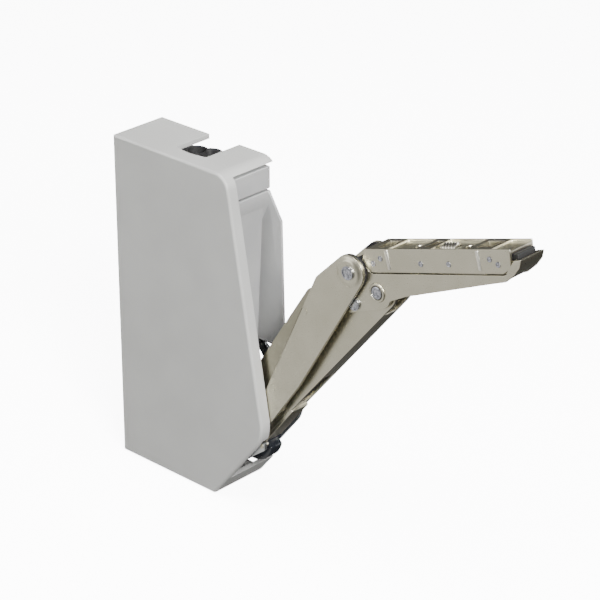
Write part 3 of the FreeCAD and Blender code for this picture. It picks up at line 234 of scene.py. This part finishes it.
finishes = {
    # The cap and the insert get the darker grey, partly painted shade
    "outer_cover": cover_plastic, "top_cap": insert_plastic_painted_shade, "front_insert": insert_plastic_painted_shade,
    "base_plate": bright_zinc, "inner_cheek": bright_zinc, "cheek_spacers": bright_zinc,
    "spring_bridge": nylon_black, "spring_seat": bright_zinc, "spring_plate": bright_zinc,
    "drive_yoke": bright_zinc, "pull_rods": bright_zinc, "rod_nuts": bright_zinc,
    "force_screw": bright_zinc, "lifting_springs": spring_wire,
    "damper_body": damper_plastic, "damper_plunger": bright_nickel,
    "base_pin": bright_nickel, "base_bushes": acetal_charcoal, "tail_pin": bright_nickel,
    "drive_slider": acetal_charcoal, "guide_pins": bright_nickel,
    "guide_sliders": acetal_charcoal, "lower_arm": satin_nickel,
    "upper_arm_near": satin_nickel, "upper_arm_far": satin_nickel,
    # The liners get the darker copy of the satin nickel, a painted shade
    "guide_liner_near": liner_painted_shade, "guide_liner_far": liner_painted_shade,
    "liner_rivets": satin_nickel, "arm_pin": rivet_steel, "carrier_wing": satin_nickel,
    "wing_pin": rivet_steel, "stop_rivets": rivet_steel, "door_bracket": satin_nickel,
    "height_worm": rivet_steel, "nose_rivet": satin_nickel, "arm_end_cap": nylon_black,
    "arm_spacers": nylon_black, "bracket_pins": rivet_steel, "bracket_latch": nylon_black,
}


# Ways of working on a piece

def paint(thing, material):
    thing.data.materials.clear()
    thing.data.materials.append(material)


def only(thing):
    bpy.ops.object.select_all(action="DESELECT")
    thing.select_set(True)
    bpy.context.view_layer.objects.active = thing


def body_named(node):
    """The moving body that carries a CAD node."""
    for body, carried in frame["record"]["behaviour"]["bodies"].items():
        if node in carried:
            return body


def pick(made, wanted, kind="FACE"):
    """Select, in edit mode, the faces (or corners) of a piece that pass a test of their place."""
    only(made)
    bpy.ops.object.mode_set(mode="EDIT")
    bpy.ops.mesh.select_mode(type=kind)
    bpy.ops.mesh.select_all(action="DESELECT")
    bpy.ops.object.mode_set(mode="OBJECT")
    for item in made.data.polygons if kind == "FACE" else made.data.vertices:
        item.select = wanted(item)
    bpy.ops.object.mode_set(mode="EDIT")


def press(steps, each_face):
    """Step the selected faces inward and then up or down, each step in mm as the tool has it."""
    for inward, rise in steps:
        bpy.ops.mesh.inset(thickness=inward * MM, depth=rise * MM, use_individual=each_face)
    bpy.ops.object.mode_set(mode="OBJECT")


def slice_off(made, point, facing):
    """Saw a piece through at a plane, close the cut, and drop what the plane faces."""
    pick(made, lambda face: True)
    bpy.ops.mesh.bisect(plane_co=point, plane_no=facing, use_fill=True, clear_outer=True)
    bpy.ops.object.mode_set(mode="OBJECT")


def round_edges(made, width, segments, sharper_than, clamp=True):
    """A small round on the edges that turn by more than an angle in degrees."""
    rounding = made.modifiers.new("EdgeRound", "BEVEL")
    rounding.width = width
    rounding.segments = segments
    rounding.limit_method = "ANGLE"
    rounding.angle_limit = math.radians(sharper_than)
    rounding.use_clamp_overlap = clamp
    only(made)
    bpy.ops.object.modifier_apply(modifier="EdgeRound")


def bar_across(radius, length, place):
    """A round bar from side to side of the stay, with its place in its mesh."""
    bpy.ops.mesh.primitive_cylinder_add(vertices=64, radius=radius * MM, depth=length * MM,
                                        location=place, rotation=(math.radians(90), 0, 0))
    made = bpy.context.object
    bpy.ops.object.transform_apply(location=True, rotation=True, scale=True)
    return made


def wind(made, axis, pitch, turns):
    """A screw-shaped sweep of a piece's outline, still to be applied."""
    winding = made.modifiers.new("Winding", "SCREW")
    winding.axis = axis
    winding.screw_offset = pitch
    winding.iterations = turns
    winding.steps = winding.render_steps = 32
    return winding


def press_rings(made, rings):
    """Ring marks of the rivet tool, in the faces at both ends of a pin."""
    sides = [vertex.co.y for vertex in made.data.vertices]

    def at_an_end(face):
        gap = min(abs(face.center.y - min(sides)), abs(face.center.y - max(sides)))
        return gap < 0.01 * MM and abs(face.normal.y) > 0.99

    pick(made, at_an_end)
    press(rings, each_face=True)


def shade_evenly(made):
    """Smooth shading on rounds only, so that flat faces stay flat to the eye."""
    only(made)
    bpy.ops.object.shade_smooth_by_angle(angle=math.radians(32))
    flatten = made.modifiers.new("FlatFaces", "WEIGHTED_NORMAL")
    flatten.keep_sharp = True
    bpy.ops.object.modifier_apply(modifier="FlatFaces")


def soften(node, width, rings=()):
    """A merged copy of a CAD node whose sharp edges are rounded, as on tumbled or moulded parts."""
    made = nodes[node].copy()
    made.data = nodes[node].data.copy()
    made.name = made.data.name = node + "_finished"
    made.parent = None
    del made["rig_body"], made["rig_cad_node"]
    made.matrix_world = nodes[node].matrix_world
    home.objects.link(made)
    only(made)
    bpy.ops.object.mode_set(mode="EDIT")
    bpy.ops.mesh.select_all(action="SELECT")
    bpy.ops.mesh.remove_doubles(threshold=0.002 * MM)
    bpy.ops.mesh.dissolve_limited(angle_limit=math.radians(0.5))
    bpy.ops.object.mode_set(mode="OBJECT")
    if rings:
        press_rings(made, rings)
    round_edges(made, width, 2, sharper_than=38, clamp=False)
    shade_evenly(made)
    paint(made, finishes[node])
    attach(made, body_named(node))
    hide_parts(node)


def settle(made, name, material, body):
    """Put the finished piece's place into its mesh, and give it its finish and its body."""
    only(made)
    bpy.ops.object.transform_apply(location=True, rotation=True, scale=True)
    made.name = made.data.name = name
    bpy.ops.object.shade_smooth_by_angle(angle=math.radians(32))
    paint(made, material)
    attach(made, body)
    return made


# The solids' own pieces, with their edges rounded

for name, material in finishes.items():
    paint(nodes[name], material)

# Width of each node's rounds in mm
edge_rounds = {
    "outer_cover": 0.25, "top_cap": 0.4, "front_insert": 0.4, "spring_bridge": 0.4,
    "upper_arm_near": 0.22, "upper_arm_far": 0.22, "lower_arm": 0.25, "carrier_wing": 0.25,
    "door_bracket": 0.2, "arm_end_cap": 0.5, "bracket_latch": 0.3, "nose_rivet": 0.1,
    "arm_spacers": 0.2, "base_plate": 0.15, "inner_cheek": 0.15, "guide_liner_near": 0.12,
    "guide_liner_far": 0.12, "force_screw": 0.2, "spring_plate": 0.2, "spring_seat": 0.2,
    "drive_yoke": 0.2,
}
for name, width in edge_rounds.items():
    soften(name, width * MM)

# Riveted pins: the rounds' width, then the tool's steps inward and up
head_rings = {
    "arm_pin": (0.12, [(0.5, 0), (0.25, -0.22), (0.75, 0), (0.25, 0.14)]),
    "stop_rivets": (0.12, [(0.5, 0), (0.25, -0.2), (0.7, 0), (0.25, 0.12)]),
    "bracket_pins": (0.06, [(0.3, 0), (0.12, -0.1), (0.25, 0), (0.1, 0.06)]),
}
for name, (width, rings) in head_rings.items():
    soften(name, width * MM, rings)


# Pieces that are finer than the solids

pivots = {joint["name"]: Vector(joint["pos_m"])
          for joint in frame["record"]["behaviour"]["joints"] if "pos_m" in joint}
ARM_FOOT = pivots["lower_arm_swing"]
WING_PIN = pivots["carrier_turn"]
ARM_PIN = pivots["upper_arm_turn"]
REACH = WING_PIN - ARM_FOOT
ARM_ANGLE = math.atan2(REACH.z, REACH.x)
TILT = math.radians(17)     # the door bracket rises toward its end
BRACKET_SIDE = 6.78         # from the arms' middle to the outside of the bracket's wall
BOTH_SIDES = ((-1, "near"), (1, "far"))


def on_bracket(along, layer, up):
    """A point given along and above the wing pivot, and across from the arms' middle."""
    return WING_PIN + Vector((along * math.cos(TILT) - up * math.sin(TILT), layer,
                              along * math.sin(TILT) + up * math.cos(TILT))) * MM


def domed_boss(name, side):
    """The soft dished boss pressed outward in an upper arm plate, round the arm pin."""
    plate_outside = 9.37
    made = bar_across(radius=6.4, length=0.3,
                      place=ARM_PIN + Vector((0, side * plate_outside * MM, 0)))
    pick(made, lambda face: face.normal.y * side > 0.99)
    swell = [(0.45, 0.14), (0.5, 0.3), (0.5, 0.3), (0.5, 0.12)]
    dish = [(0.6, -0.03), (0.7, -0.2)]
    press(swell + dish, each_face=False)
    settle(made, name, satin_nickel, "upper_arm")


for side, word in BOTH_SIDES:
    domed_boss("arm_boss_" + word, side)


def soft_ridge(name, along, side):
    """A half-round stiffening ridge across a side wall of the door bracket."""
    length, radius, flattened, wall_middle = 7.6, 0.85, 0.53, 13.0
    bpy.ops.mesh.primitive_cylinder_add(
        vertices=32, radius=radius * MM, depth=length * MM,
        location=on_bracket(along, side * BRACKET_SIDE, wall_middle), rotation=(0, -TILT, 0))
    made = bpy.context.object
    bpy.ops.object.mode_set(mode="EDIT")
    bpy.ops.mesh.select_all(action="SELECT")
    bpy.ops.mesh.bevel(offset=0.3 * MM, segments=3)
    bpy.ops.transform.resize(value=(1, flattened, 1))
    bpy.ops.object.mode_set(mode="OBJECT")
    # The ridges get the lighter copy of the plate, a painted highlight
    settle(made, name, ridge_painted_highlight, "carrier")


for side, word in BOTH_SIDES:
    soft_ridge("bracket_ridge_rear_" + word, along=9.0, side=side)
    soft_ridge("bracket_ridge_front_" + word, along=54.3, side=side)


def headed_pin():
    """The wing pivot: a plated collar round the bared and orbitally riveted end."""
    made = bar_across(radius=2.6, length=13.6, place=WING_PIN)
    pick(made, lambda face: abs(face.normal.y) > 0.99)
    bpy.ops.mesh.extrude_region_move(TRANSFORM_OT_translate={"value": (0, 0, 0)})
    collar_reach = 1.5
    bpy.ops.transform.resize(value=(collar_reach, 1, collar_reach), center_override=WING_PIN)
    collar = [(0.1, 0.03), (0.12, 0.42), (0.3, 0.14), (0.4, 0)]
    joint = [(0.28, -0.3), (0.08, 0)]
    head = [(0.12, 0.36), (0.25, 0.14), (0.7, 0.04), (0.25, -0.16), (0.5, 0.05)]
    press(collar + joint + head, each_face=True)
    settle(made, "wing_pin_headed", satin_nickel, "carrier")
    made.data.materials.append(rivet_steel)
    made.data.materials.append(joint_painted_shade)
    # Painted shade: faces beyond the collar's foot and in the thin joint ring get the nearly black
    # material
    foot, joint_inside, joint_outside = 3.78, 2.5, 2.75     # mm from the pin's axis
    for face in made.data.polygons:
        away = face.center - WING_PIN
        spread = math.hypot(away.x, away.z) / MM
        if spread > foot or joint_inside < spread < joint_outside:
            face.material_index = 2
        elif spread < joint_inside:
            face.material_index = 1
    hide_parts("wing_pin")


headed_pin()


def cut_block(name, low, high, cuts, origin, angle, bevel, material, body):
    """A block in a tilted arm's own directions, in mm, sawn along lines of its side view.

    Each line runs from one point (along, up) to another, and what lies to its right is dropped.
    """
    middle = [(one + two) / 2 for one, two in zip(low, high)]
    bpy.ops.mesh.primitive_cube_add(size=1, location=[value * MM for value in middle])
    made = bpy.context.object
    made.scale = [(two - one) * MM for one, two in zip(low, high)]
    bpy.ops.object.transform_apply(location=True, rotation=True, scale=True)
    for (start_x, start_z), (stop_x, stop_z) in cuts:
        slice_off(made, (start_x * MM, 0, start_z * MM), (stop_z - start_z, 0, start_x - stop_x))
    round_edges(made, bevel * MM, 3, sharper_than=25)
    made.rotation_euler = (0, -angle, 0)
    made.location = origin
    settle(made, name, material, body)


# The wing's end cheeks, which stand up behind the narrow slit at the bracket's end
cheek_inside = 5.6
cheek_outline = [((70.25, 12.3), (66.3, 7.9)), ((66.3, 7.9), (68.9, 7.3)),
                 ((68.9, 7.3), (73.0, 9.0))]
for side, word in BOTH_SIDES:
    right, left = sorted((side * BRACKET_SIDE, side * cheek_inside))
    cut_block("wing_end_cheek_" + word, low=(66, right, 7.2), high=(73.6, left, 13.1),
              cuts=cheek_outline, origin=WING_PIN, angle=TILT, bevel=0.2,
              material=satin_nickel, body="carrier")

# The channel's web runs on over the arm's end, sloping down along it
cut_block("lower_arm_end_web", low=(3, -4.7, -6.2), high=(28.5, 4.7, -4.2),
          cuts=[((2, -5.05), (29, -5.75))], origin=ARM_FOOT, angle=ARM_ANGLE, bevel=0.2,
          material=satin_nickel, body="lower_arm")


def end_rest():
    """The black rest at the arm's foot: a rounded lump with a thin lip along the far flange."""
    cap, cap_end = bpy.data.objects["arm_end_cap_finished"], 2.6
    up_the_arm = Vector((math.cos(ARM_ANGLE), 0, math.sin(ARM_ANGLE)))
    slice_off(cap, ARM_FOOT + up_the_arm * cap_end * MM, up_the_arm)
    made = bar_across(radius=10.8, length=6.6, place=(-2.2 * MM, 0, 0))
    lump_top, lump_front = (0, 0, -4.4 * MM), (2.9 * MM, 0, 0)
    slice_off(made, lump_top, (0, 0, 1))
    slice_off(made, lump_front, (1, 0, 0))
    round_edges(made, 0.9 * MM, 4, sharper_than=30)
    made.rotation_euler = (0, -ARM_ANGLE, 0)
    made.location = ARM_FOOT
    settle(made, "arm_end_rest", nylon_gloss, "lower_arm")
    cut_block("arm_end_rest_lip", low=(2.2, 3.2, -7.6), high=(24, 4.8, -5.4),
              cuts=[((2.2, -7.6), (24, -6.2))], origin=ARM_FOOT, angle=ARM_ANGLE, bevel=0.4,
              material=nylon_gloss, body="lower_arm")


end_rest()


def open_plate_notch():
    """The steel plate is cut away behind the notch of the top, so that daylight shows there."""
    plate = bpy.data.objects["base_plate_finished"]
    opening_middle, opening_size = (-3.5, -0.75, 72.5), (33, 5, 6.4)
    bpy.ops.mesh.primitive_cube_add(size=1, location=[value * MM for value in opening_middle])
    cutter = bpy.context.object
    cutter.scale = [value * MM for value in opening_size]
    bpy.ops.object.transform_apply(location=True, rotation=True, scale=True)
    notch = plate.modifiers.new("Notch", "BOOLEAN")
    notch.operation = "DIFFERENCE"
    notch.solver = "EXACT"
    notch.object = cutter
    only(plate)
    bpy.ops.object.modifier_apply(modifier="Notch")
    bpy.data.objects.remove(cutter)
    # Below the nose it is set back along the slant, so that the floor shows over the cover's lip
    slant_foot, outward = (17.3 * MM, 0, -64.2 * MM), (0.65, 0, -0.76)
    slice_off(plate, slant_foot, outward)
    bpy.ops.mesh.customdata_custom_splitnormals_clear()
    bpy.ops.object.shade_flat()


open_plate_notch()


def wound_springs():
    """The pair of lifting springs in round wire. The real ones shorten as the yoke draws down on
    them; these ride the body whole.
    """
    low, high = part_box("lifting_springs")
    wire, turns = 0.85 * MM, 7
    coil = (high[1] - low[1]) / 2 - wire
    pitch = (high[2] - low[2] - 2 * wire) / turns
    wound = []
    for centre in (low[0] + coil + wire, high[0] - coil - wire):
        bpy.ops.mesh.primitive_circle_add(
            vertices=12, radius=wire, fill_type="NOTHING", location=(coil, 0, low[2] + wire),
            rotation=(math.radians(90), 0, 0))
        made = bpy.context.object
        bpy.ops.object.transform_apply(location=True, rotation=True, scale=True)
        wind(made, "Z", pitch, turns)
        only(made)
        bpy.ops.object.modifier_apply(modifier="Winding")
        bpy.ops.object.mode_set(mode="EDIT")
        bpy.ops.mesh.select_mode(type="EDGE")
        bpy.ops.mesh.select_all(action="DESELECT")
        bpy.ops.mesh.select_non_manifold()
        bpy.ops.mesh.fill_holes(sides=0)
        bpy.ops.mesh.select_all(action="SELECT")
        bpy.ops.mesh.normals_make_consistent(inside=False)
        bpy.ops.transform.translate(value=(centre, (low[1] + high[1]) / 2, 0))
        bpy.ops.object.mode_set(mode="OBJECT")
        wound.append(made)
    only(wound[0])
    wound[1].select_set(True)
    bpy.ops.object.join()
    made = settle(bpy.context.object, "lifting_springs_wound", spring_wire, "body")
    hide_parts("lifting_springs")
    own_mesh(made)


wound_springs()


def shift_rim(piece, wanted, rise):
    """Move an edge of a moulded piece up or down, to narrow or widen the joint line beside it."""
    pick(bpy.data.objects[piece], wanted, "VERT")
    bpy.ops.transform.translate(value=(0, 0, rise * MM))
    bpy.ops.object.mode_set(mode="OBJECT")


cap_rim, insert_rim = 70 * MM, 62.4 * MM
shift_rim("top_cap_finished", lambda corner: corner.co.z > cap_rim, rise=0.55)
shift_rim("front_insert_finished", lambda corner: corner.co.z > insert_rim, rise=-0.4)


def threaded_worm():
    """The height adjusting worm: a rounded thread, cut square at both ends."""
    pitch, turns, crest, root, length = 1.4, 6, 2.3, 1.65, 7
    bpy.ops.mesh.primitive_plane_add(size=MM)
    made = bpy.context.object
    bpy.ops.object.mode_set(mode="EDIT")
    bpy.ops.mesh.merge(type="CENTER")
    bpy.ops.transform.translate(value=(0, 0, root * MM))
    # One pitch of the thread: its root, a flank up, its crest and a flank down
    for onward, outward in ((0.2, 0), (0.22, crest - root), (0.38, 0), (0.2, root - crest)):
        bpy.ops.mesh.extrude_region_move(
            TRANSFORM_OT_translate={"value": (onward * pitch * MM, 0, outward * MM)})
    bpy.ops.object.mode_set(mode="OBJECT")
    winding = wind(made, "X", pitch * MM, turns)
    winding.use_merge_vertices = True
    winding.merge_threshold = 0.002 * MM
    only(made)
    bpy.ops.object.modifier_apply(modifier="Winding")
    slice_off(made, (pitch * MM, 0, 0), (-1, 0, 0))
    slice_off(made, ((pitch + length) * MM, 0, 0), (1, 0, 0))
    pick(made, lambda face: True)
    bpy.ops.mesh.normals_make_consistent(inside=False)
    bpy.ops.transform.translate(value=(-(pitch + length / 2) * MM, 0, 0))
    bpy.ops.object.mode_set(mode="OBJECT")
    made.location = on_bracket(along=36.2, layer=0, up=15.5)
    made.rotation_euler = (0, -TILT, 0)
    settle(made, "worm_threaded", bright_nickel, "carrier")
    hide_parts("height_worm")


threaded_worm()


# Studio: a white table and backdrop, which are lit on their own and leave the stay's light alone

def self_lit(name, strength):
    paper, tree, place = new_material(name)
    fibre = add(tree, "ShaderNodeTexNoise",
                {"Vector": place, "Scale": 1 / (25 * MM), "Detail": 4.0})
    tone = two_tones(tree, fibre.outputs["Fac"], 0.3, 0.7, "F4F4F4", "F6F6F6")
    close_material(tree, add(tree, "ShaderNodeBsdfPrincipled", {
        "Base Color": tone, "Roughness": 0.9, "Emission Color": colour("F8F8F9"),
        "Emission Strength": strength}))
    return paper


def stage_piece(made, name, material):
    made.name = name
    made.visible_diffuse = made.visible_glossy = False
    paint(made, material)


just_below = cad_box[0][2] - 0.4 * MM
bpy.ops.mesh.primitive_plane_add(size=14, location=(0, 0, just_below))
stage_piece(bpy.context.object, "studio_floor", self_lit("matt_paper_white", 9.0))
bpy.ops.mesh.primitive_ico_sphere_add(subdivisions=4, radius=6.5)
backdrop = bpy.context.object
backdrop.visible_shadow = False
stage_piece(backdrop, "studio_backdrop", self_lit("matt_backdrop_white", 10.5))


def softbox(name, spot, width, tall, power):
    """A rectangular lamp in metres and watts, which faces the stay's middle."""
    light = bpy.data.lights.new(name, "AREA")
    light.shape = "RECTANGLE"
    light.size, light.size_y = width, tall
    light.energy = power
    made = bpy.data.objects.new(name, light)
    made.location = spot
    stay_middle = Vector((0.03, 0, 0))
    made.rotation_euler = (stay_middle - Vector(spot)).to_track_quat("-Z", "Y").to_euler()
    home.objects.link(made)


softbox("key_right", (1.35, -0.75, 0.95), width=0.6, tall=0.6, power=122)
softbox("fill_left", (-0.9, -1.4, 0.5), width=1.0, tall=1.0, power=6)
softbox("top", (0.25, -0.3, 1.6), width=1.0, tall=1.0, power=74)
softbox("back", (0.9, 1.2, 0.2), width=0.9, tall=0.8, power=10)

# The room: a pale wall to the left and below, dark behind the stay, as the metal reflects it
sky = bpy.data.worlds.new("Studio")
bpy.context.scene.world = sky
sky.use_nodes = True
room = sky.node_tree
pale_wall = (-0.74, -0.46, -0.49)
toward = add(room, "ShaderNodeVectorMath", operation="DOT_PRODUCT", inputs={
    0: add(room, "ShaderNodeTexCoord").outputs["Generated"], 1: pale_wall})
glow = add(room, "ShaderNodeMapRange", {
    "Value": toward.outputs["Value"], "From Min": 0.25, "From Max": 0.85,
    "To Min": 0.07, "To Max": 0.98})
room.nodes["Background"].inputs["Color"].default_value = colour("F6F5F2")
room.links.new(glow.outputs["Result"], room.nodes["Background"].inputs["Strength"])

# A long lens, turned round from the front and raised as the picture's view is
around, above = math.radians(43.2), math.radians(25.5)
lens = bpy.data.cameras.new("photo_view")
lens.sensor_width = 36
lens.lens = 142.9
camera = bpy.data.objects.new("photo_view", lens)
camera.location = (0.639585, -0.633776, 0.433132)
camera.rotation_euler = (math.radians(90) - above, 0, around)
home.objects.link(camera)
bpy.context.scene.camera = camera
